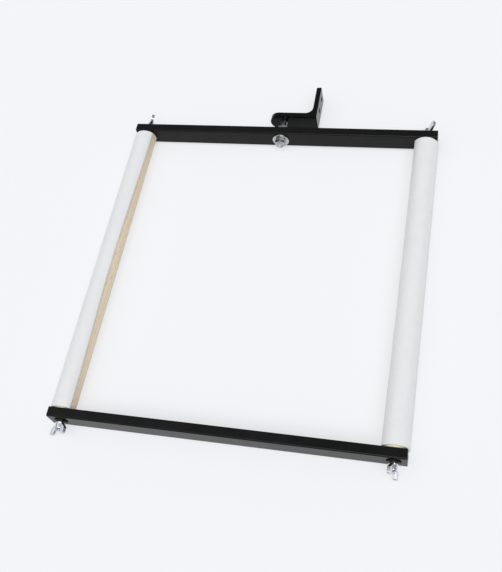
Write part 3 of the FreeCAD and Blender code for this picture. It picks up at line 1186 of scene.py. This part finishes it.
@dataclass
class ClampRail:
    """A wooden core with a split sleeve that holds the fabric.

    Attributes:
        side: Which side of the frame it is on.
        slot_angle: Angle of the slot along the sleeve, in degrees.
        slot_drop: How far the slot is turned down from facing inward, in degrees.
        slot_opening: How much further the upper lip stands open at mid length, in degrees.
        bore_radius: Radius of the sleeve's bore.
        chamfer: Chamfer on the ends of the core.
        stud_bore: Radius of the stud holes in the core.
        stud_depth: Depth of the stud holes.
        lip_edge: Rounding round the sleeve's ends.
        arc_steps: Facets round the sleeve.
        lip_steps: Facets round each lip.
        stations: Sections along the sleeve.
    """

    side: Side
    slot_angle: float = 104.0
    slot_drop: float = 0.0
    slot_opening: float = 0.0
    bore_radius: float = 12.78 * MM
    chamfer: float = 1.0 * MM
    stud_bore: float = 3.195 * MM
    stud_depth: float = 32.0 * MM
    lip_edge: float = 0.45 * MM
    arc_steps: int = 72
    lip_steps: int = 8
    stations: int = 24

    @property
    def core_node(self) -> str:
        """The CAD node of the core."""
        return f"{self.side.label}_rail_core"

    @property
    def sleeve_node(self) -> str:
        """The CAD node of the sleeve."""
        return f"{self.side.label}_clamp_sleeve"

    def core(self) -> Shape:
        """Turn the core along Z, bored at both ends for its studs."""
        size = size_of(self.core_node)
        radius = size.z / 2
        half = size.y / 2
        floor = half - self.stud_depth
        soft = 0.3 * MM
        top = [
            (radius, half - self.chamfer - soft),
            (radius - 0.08 * MM, half - self.chamfer + 0.05 * MM),
            (radius - self.chamfer + 0.1 * MM, half - 0.08 * MM),
            (radius - self.chamfer - soft, half),
            (self.stud_bore, half),
            (self.stud_bore, floor),
            (0.0, floor),
        ]
        bottom = [(r, -z) for r, z in reversed(top)]
        steps = 24
        low, high = -half + self.chamfer + soft, half - self.chamfer - soft
        side = [(radius, low + (high - low) * i / steps) for i in range(1, steps)]
        return Shape.turned(bottom + side + top, 96)

    def section(self, upper: float, lower: float, outside: float) -> list[Point2]:
        """Draw the sleeve's C-shaped section with rounded lips.

        Args:
            upper: Angle of the upper lip from the middle of the slot, in radians.
            lower: Angle of the lower lip from the middle of the slot, in radians.
            outside: Outside radius of the sleeve.

        Returns:
            The closed outline.
        """
        wall = outside - self.bore_radius
        middle = self.bore_radius + wall / 2
        start = lower + 0.5 * wall / middle
        end = math.tau - upper - 0.5 * wall / middle
        outline = arc_points((0, 0), outside, start, end, self.arc_steps)
        for angle, first in ((end, end), (start, start + math.pi)):
            lip = (middle * math.cos(angle), middle * math.sin(angle))
            outline += arc_points(lip, wall / 2, first, first + math.pi, self.lip_steps)[1:-1]
            if angle is end:
                outline += arc_points((0, 0), self.bore_radius, end, start, self.arc_steps)
        return outline

    def sleeve(self) -> Shape:
        """Raise the section along Z, with the upper lip standing a little open at mid length."""
        size = size_of(self.sleeve_node)
        half_slot = math.radians(self.slot_angle / 2)
        rows = []
        for step in range(self.stations + 1):
            along = step / self.stations
            swell = math.sin(math.pi * along) ** 2 - 0.4
            upper = half_slot + math.radians(self.slot_opening) * swell
            outline = self.section(upper, half_slot, size.z / 2)
            rows.append([(x, y, size.y * (along - 0.5)) for x, y in outline])
        return Shape.lofted(rows).bevelled(self.lip_edge, 3, 60.0)

    def build(self, wood: Finish, vinyl: Finish) -> None:
        """Add the core and its sleeve.

        Args:
            wood: The finish of the core.
            vinyl: The finish of the sleeve.
        """
        name = self.side.label
        along = Matrix.Rotation(-math.pi / 2, 4, "X")
        axis = centre_of(self.core_node)
        core = self.core().moved(along).mesh(50.0)
        add_piece(f"{name}_dowel", core, self.core_node, wood, Matrix.Translation(axis))
        sleeve = self.sleeve()
        if self.side is Side.RIGHT:
            sleeve.mirrored()
        drop = Matrix.Rotation(-self.side.value * math.radians(self.slot_drop), 4, "Z")
        place = Matrix.Translation((axis.x, centre_of(self.sleeve_node).y, axis.z))
        mesh = sleeve.moved(along @ drop).mesh()
        add_piece(f"{name}_split_sleeve", mesh, self.sleeve_node, vinyl, place)


@dataclass
class WingNut:
    """A forged wing nut with a tapered hub and two rounded wings.

    Attributes:
        bore: Radius of the bore.
        base: Radius of the hub at its seat.
        top: Radius of the hub at its top.
        hub: Height of the hub.
        reach: Distance from the axis to a wing's outer edge.
        height: Height of the wings over the seat.
        thick: Thickness of a wing.
        tip_width: Width of a wing near its tip.
        tip_round: Radius of the wing tips' corners.
        edge: Rounding along the wings' edges.
        voxel: Size of the cells that fuse the wings to the hub.
    """

    bore: float = 3.2 * MM
    base: float = 5.3 * MM
    top: float = 4.35 * MM
    hub: float = 8.0 * MM
    reach: float = 14.1 * MM
    height: float = 14.9 * MM
    thick: float = 3.6 * MM
    tip_width: float = 5.6 * MM
    tip_round: float = 2.5 * MM
    edge: float = 0.9 * MM
    voxel: float = 0.22 * MM

    def hub_shape(self) -> Shape:
        """Turn the hub, with a short collar at its seat."""
        collar = 1.5 * MM
        soft = 0.4 * MM
        return Shape.turned(
            (
                (0.0, 0.0),
                (self.base - soft, 0.0),
                (self.base, soft),
                (self.base, collar),
                (self.base - soft, collar + soft),
                (self.top, self.hub - soft),
                (self.top - soft, self.hub),
                (0.0, self.hub),
            ),
            48,
        )

    def wing_shape(self, sign: int) -> Shape:
        """Shape one wing as a plate that widens towards its rounded tip.

        Args:
            sign: 1 for the wing along X, -1 for the opposite one.

        Returns:
            The closed wing.
        """
        inner = 1.6 * MM
        shoulder = self.reach - self.tip_width
        outline = rounded_outline(
            (
                (inner, 1.3 * MM, 0.2 * MM),
                (self.base + 0.6 * MM, 1.5 * MM, 2.5 * MM),
                (self.reach, self.height * 0.5, 3.2 * MM),
                (self.reach, self.height, self.tip_round),
                (shoulder, self.height, self.tip_round),
                (self.top + 0.5 * MM, self.hub * 0.86, 2.2 * MM),
                (inner, self.hub * 0.8, 0.2 * MM),
            )
        )
        plate = Shape.prism(outline, -self.thick / 2, self.thick / 2).bevelled(self.edge, 3, 50.0)
        plate.moved(QUARTER_TURN_X)
        return plate if sign > 0 else plate.moved(Matrix.Rotation(math.pi, 4, "Z"))

    def mesh(self) -> bpy.types.Mesh:
        """Fuse the hub and wings into one forging and bore it."""
        blank = Shape.joined([self.hub_shape(), self.wing_shape(1), self.wing_shape(-1)])
        blank.fused(self.voxel, 3)
        drill = Shape.turned(
            (
                (0.0, -MM),
                (self.bore + 1.3 * MM, -MM),
                (self.bore, 0.35 * MM),
                (self.bore, self.hub - 0.35 * MM),
                (self.bore + 1.0 * MM, self.hub + 0.7 * MM),
                (0.0, self.hub + 0.7 * MM),
            ),
            48,
        )
        return blank.cut(drill).mesh(45.0)


@dataclass
class HexNut:
    """A hexagon nut or bolt head with chamfered corners.

    Attributes:
        flats: Width across flats.
        height: Height.
        bore: Radius of the bore, or nothing for a bolt head.
        both_ends: Whether the lower corners are chamfered too.
    """

    flats: float
    height: float
    bore: Optional[float] = None
    both_ends: bool = True

    def shape(self) -> Shape:
        """Cut the hexagon's corners with a shallow cone, bore it and break its edges."""
        corner = self.flats / 2 / math.cos(math.pi / 6)
        flat_top = self.flats / 2 * 0.95
        drop = (corner - flat_top) * math.tan(math.radians(30))
        hexagon = Shape.prism(ring_of(corner, 6, math.pi / 6), 0.0, self.height)
        low_flat, low_drop = (flat_top, drop) if self.both_ends else (corner, 0.0)
        clear = corner + 0.01 * MM
        envelope = Shape.turned(
            (
                (0.0, 0.0),
                (low_flat, 0.0),
                (clear, low_drop),
                (clear, self.height - drop),
                (flat_top, self.height),
                (0.0, self.height),
            ),
            96,
        )
        shape = hexagon.combined(envelope, "INTERSECT")
        if self.bore is not None:
            flare = 0.7 * MM
            drill = Shape.turned(
                (
                    (0.0, -MM),
                    (self.bore + flare + MM, -MM),
                    (self.bore, flare),
                    (self.bore, self.height - flare),
                    (self.bore + flare + MM, self.height + MM),
                    (0.0, self.height + MM),
                ),
                64,
            )
            shape.cut(drill)
        return shape.bevelled(0.12 * MM, 2, 28.0)

    def mesh(self) -> bpy.types.Mesh:
        """Finish the nut."""
        return self.shape().mesh(28.0)


@dataclass
class Washer:
    """A stamped flat washer with a rolled upper edge and a sharper lower one.

    Attributes:
        outside: Outside radius.
        inside: Hole radius.
        thick: Thickness.
    """

    outside: float
    inside: float
    thick: float

    def mesh(self) -> bpy.types.Mesh:
        """Turn the washer's section."""
        roll = 0.42 * MM
        burr = 0.1 * MM
        top = arc_points((self.outside - roll, self.thick - roll), roll, 0.0, math.pi / 2, 5)
        inner = arc_points((self.inside + roll, self.thick - roll), roll, math.pi / 2, math.pi, 4)
        seat_inside = [(self.inside, burr), (self.inside + burr, 0.0)]
        seat_outside = [(self.outside - burr, 0.0), (self.outside, burr)]
        return Shape.turned(seat_inside + seat_outside + top + inner, 96).mesh(40.0)


@dataclass
class RailFastening:
    """The stud, washer and wing nut that hold one end of a rail.

    Attributes:
        end: Which end of the frame it is at.
        side: Which side of the frame it is on.
        thread: The stud's thread outside the core.
        machine: Length of that thread.
        coarse_pitch: Pitch of the wood screw inside the core.
    """

    end: End
    side: Side
    thread: Thread = Thread(3.175 * MM, 1.27 * MM)
    machine: float = 26.0 * MM
    coarse_pitch: float = 2.6 * MM

    @property
    def prefix(self) -> str:
        """The words that its node names start with."""
        return f"{self.end.label}_{self.side.label}"

    def stud(self) -> bpy.types.Mesh:
        """Build the stud: thread outside the core, and a coarse tapered screw inside it."""
        length = size_of(f"{self.prefix}_stud").y
        coarse = Thread(self.thread.radius - 0.05 * MM, self.coarse_pitch)
        outside = self.thread.rod(-self.machine, 0.0)
        return Shape.joined([outside, coarse.rod(-length, -self.machine + MM)]).mesh(25.0)

    def build(
        self, wing_nut: bpy.types.Mesh, washer: bpy.types.Mesh, zinc: Finish, washer_finish: Finish
    ) -> None:
        """Add the stud, the washer and the wing nut.

        Args:
            wing_nut: The wing nuts' shared mesh.
            washer: The washers' shared mesh.
            zinc: The finish of the stud and the wing nut.
            washer_finish: The finish of the washer.
        """
        node = f"{self.prefix}_stud"
        low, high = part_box(node)
        middle = (low + high) / 2
        tip = Vector((middle.x, high.y if self.end is End.REAR else low.y, middle.z))
        add_piece(f"{self.prefix}_hanger_bolt", self.stud(), node, zinc, outward(self.end, tip))
        node = f"{self.prefix}_washer"
        add_piece(f"{node}_disc", washer, node, washer_finish, outward(self.end, seat(node, self.end)))
        node = f"{self.prefix}_wing_nut"
        place = Vector((middle.x, seat(node, self.end).y, middle.z))
        turn = -self.end.value * wing_turn(node)
        add_piece(f"{node}_forging", wing_nut, node, zinc, outward(self.end, place, turn))


@dataclass
class Pivot:
    """The pivot bolt through the rear crossbar, with its nuts, washers and bracket.

    Attributes:
        thread: The bolt's thread.
        thick: Thickness of the bracket.
        fillet: Radius inside the bracket's corner.
        toe: Radius along the inner edges of the bracket's ends.
        leg_hole: Radius of the mounting holes.
        edge: Rounding of the bracket's edges.
        head_height: Height of the bolt's head.
        bore: Radius of the nuts' and washers' holes.
        fastenings: Name of each nut and washer pair, with the end that it is tightened from.
    """

    thread: Thread = Thread(3.97 * MM, 1.411 * MM)
    thick: float = 6.35 * MM
    fillet: float = 9.5 * MM
    toe: float = 1.6 * MM
    leg_hole: float = 3.4 * MM
    edge: float = 0.35 * MM
    head_height: float = 5.2 * MM
    bore: float = 4.02 * MM
    fastenings: tuple[tuple[str, End], ...] = (("inner", End.FRONT), ("outer", End.REAR))

    def bolt(self) -> bpy.types.Mesh:
        """Build the bolt with its head at Z = 0 and its shank along Z."""
        size = size_of("pivot_bolt")
        head = HexNut(size.x, self.head_height, both_ends=False).shape()
        head.moved(Matrix.Rotation(math.pi, 4, "X"))
        shank = self.thread.rod(-MM, size.y - self.head_height)
        return Shape.joined([head, shank]).mesh(25.0)

    def bracket(self) -> bpy.types.Mesh:
        """Build the bracket in the whole frame's directions, with the plate's front face at Y = 0."""
        low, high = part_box("mounting_bracket")
        axis = centre_of("pivot_bolt")
        left, right = low.x - axis.x, high.x - axis.x
        leg, half = high.y - low.y, (high.z - low.z) / 2
        inside = right - self.thick
        outline = [(left, 0.0), (right, 0.0), (right, leg)]
        leg_toe = (inside + self.toe, leg - self.toe)
        outline += arc_points(leg_toe, self.toe, math.pi / 2, math.pi, 6)
        bend = (inside - self.fillet, self.thick + self.fillet)
        outline += arc_points(bend, self.fillet, 0.0, -math.pi / 2, 14)
        ear_toe = (left + self.toe, self.thick - self.toe)
        outline += arc_points(ear_toe, self.toe, math.pi / 2, math.pi, 6)
        shape = Shape.prism(outline, -half, half)
        rounding = half - 0.05 * MM
        face = arc_points((left + rounding, half - rounding), rounding, math.pi / 2, math.pi, 16)
        face += arc_points((left + rounding, rounding - half), rounding, math.pi, 1.5 * math.pi, 16)
        face += [(right + MM, -half), (right + MM, half)]
        shape.combined(Shape.prism(face, -leg - MM, MM).moved(QUARTER_TURN_X), "INTERSECT")
        bore = self.thread.radius + 0.02 * MM
        shape.cut(Shape.prism(ring_of(bore, 48), -2 * self.thick, MM).moved(QUARTER_TURN_X))
        for y in self.leg_holes():
            drill = Shape.prism(ring_of(self.leg_hole, 48), inside - MM, right + MM)
            drill.moved(Matrix.Translation((0, y, 0)) @ Matrix.Rotation(math.pi / 2, 4, "Y"))
            shape.cut(drill)
        return shape.bevelled(self.edge, 3, 40.0).mesh()

    def leg_holes(self) -> list[float]:
        """Give the Y of each mounting hole from the plate's front face, as the record's mount says."""
        mount = next(item for item in frame["record"]["mounts"] if item["name"] == "bracket_bolts")
        middle = mount["pos_m"][1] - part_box("mounting_bracket")[0].y
        half_pitch = mount["dims"]["spacing_x_mm"] * MM / 2
        return [middle - half_pitch, middle + half_pitch]

    def build(self, zinc: Finish, paint: Finish) -> None:
        """Add the bolt, its nuts and washers, and the bracket.

        Args:
            zinc: The finish of the hardware.
            paint: The finish of the bracket.
        """
        axis = centre_of("pivot_bolt")
        low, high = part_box("mounting_bracket")
        plate_back = Vector((axis.x, low.y + self.thick, axis.z))
        add_piece("pivot_hex_bolt", self.bolt(), "pivot_bolt", zinc, outward(End.FRONT, plate_back))
        place = Matrix.Translation((axis.x, low.y, axis.z))
        add_piece("angle_bracket", self.bracket(), "mounting_bracket", paint, place)
        for name, end in self.fastenings:
            node = f"pivot_{name}_washer"
            size = size_of(node)
            washer = Washer(size.x / 2, self.bore, size.y).mesh()
            add_piece(f"{node}_disc", washer, node, zinc, outward(end, seat(node, end)))
            node = f"pivot_{name}_nut"
            size = size_of(node)
            nut = HexNut(size.x, size.y, self.bore).mesh()
            add_piece(f"{node}_hexagon", nut, node, zinc, outward(end, seat(node, end)))


# ---------------------------------------------------------------------------------------------
# Studio
# ---------------------------------------------------------------------------------------------


@dataclass(frozen=True)
class SoftSun:
    """A broad soft light.

    Attributes:
        name: Name of the light.
        azimuth: Direction that it comes from, in degrees from -Y towards +X.
        elevation: Height over the floor, in degrees.
        strength: Strength of the light.
        width: Angle that it fills, in degrees.
    """

    name: str
    azimuth: float
    elevation: float
    strength: float
    width: float

    def add(self) -> None:
        """Add the light to the scene."""
        light = bpy.data.lights.new(self.name, "SUN")
        light.energy = self.strength
        light.angle = math.radians(self.width)
        lamp = add_object(self.name, light)
        tilt = math.radians(90 - self.elevation)
        lamp.rotation_euler = (tilt, 0.0, math.radians(self.azimuth))


@dataclass
class Studio:
    """The floor, the light and the camera.

    Attributes:
        floor_half: Half the side of the floor.
        sky: Strength of the even light from all round.
        sky_colour: Colour of the even light.
        suns: The broad soft lights.
        target: Point that the camera looks at.
        distance: Distance from the target to the camera.
        azimuth: Direction that the camera stands in, in degrees from -Y towards +X.
        elevation: Height of the camera over the floor, in degrees.
        roll: Turn of the camera about its own axis, in degrees.
        lens: Focal length, in millimetres.
    """

    floor_half: float = 8.0
    sky: float = 0.34
    sky_colour: tuple[float, float, float] = (0.97, 0.985, 1.0)
    suns: tuple[SoftSun, ...] = (
        SoftSun("key_light", 28.0, 60.0, 1.95, 50.0),
        SoftSun("fill_light", -60.0, 60.0, 0.65, 60.0),
    )
    target: tuple[float, float, float] = (0.0005, -0.0468, 0.0159)
    distance: float = 0.9689
    azimuth: float = 28.15
    elevation: float = 58.65
    roll: float = -20.36
    lens: float = 50.73

    def floor(self) -> None:
        """Lay the floor just under the frame."""
        work = bmesh.new()
        bmesh.ops.create_grid(work, x_segments=1, y_segments=1, size=self.floor_half)
        mesh = bpy.data.meshes.new("floor")
        work.to_mesh(mesh)
        work.free()
        mesh.materials.append(PaleFloor("pale_floor", "").material())
        floor = add_object("floor", mesh)
        floor.location.z = CAD_BOX[0].z - 0.2 * MM

    def light(self) -> None:
        """Fill the room with even light and add the broad suns."""
        world = bpy.data.worlds.new("studio")
        bpy.context.scene.world = world
        world.use_nodes = True
        background = world.node_tree.nodes["Background"]
        background.inputs["Color"].default_value = (*self.sky_colour, 1.0)
        background.inputs["Strength"].default_value = self.sky
        for sun in self.suns:
            sun.add()

    def camera(self) -> None:
        """Stand the camera where it sees the frame from its front right and above."""
        data = bpy.data.cameras.new("camera")
        data.lens = self.lens
        data.sensor_width = 36.0
        camera = add_object("camera", data)
        azimuth, elevation = math.radians(self.azimuth), math.radians(self.elevation)
        stand = Vector(
            (
                math.sin(azimuth) * math.cos(elevation),
                -math.cos(azimuth) * math.cos(elevation),
                math.sin(elevation),
            )
        )
        level = (-stand).to_track_quat("-Z", "Y").to_matrix().to_4x4()
        place = Matrix.Translation(Vector(self.target) + stand * self.distance)
        camera.matrix_world = place @ level @ Matrix.Rotation(math.radians(self.roll), 4, "Z")
        bpy.context.scene.camera = camera

    def build(self) -> None:
        """Set up the whole studio."""
        self.floor()
        self.light()
        self.camera()
        bpy.context.scene.view_settings.view_transform = "Standard"


def main() -> None:
    """Build the frame's sub-assemblies in order, then the studio."""
    logging.basicConfig(level=logging.INFO, format="%(name)s: %(message)s")
    rail_axes = [centre_of(f"{side.label}_rail_core") for side in Side]
    for number, end in enumerate(End):
        middle = centre_of(f"{end.label}_crossbar")
        rings = tuple((axis.x - middle.x, axis.z - middle.z) for axis in rail_axes)
        paint = BlackPaint(f"{end.label}_bar_paint", "bar_paint", shift=40.0 * number, rings=rings)
        Crossbar(end).build(paint, PLUG_PLASTIC)
    for number, side in enumerate(Side):
        wood = DowelWood(f"{side.label}_core_wood", "core_wood", shift=31.0 * number)
        vinyl = ExtrudedVinyl(f"{side.label}_sleeve_vinyl", "sleeve_plastic", shift=57.0 * number)
        drop, opening = SLOT_LIPS[side]
        ClampRail(side, slot_drop=drop, slot_opening=opening).build(wood, vinyl)
    wing_nut = WingNut().mesh()
    size = size_of("front_left_washer")
    washer = Washer(size.x / 2, STUD_HOLE, size.y).mesh()
    for end in End:
        for side in Side:
            RailFastening(end, side).build(wing_nut, washer, ZINC, BLACK_WASHER_PAINT)
    # The pivot hardware wears the darker zinc copy, whose colours are painted shade.
    Pivot().build(SHADED_ZINC, BRACKET_PAINT)
    Studio().build()


if __name__ == "__main__":
    main()
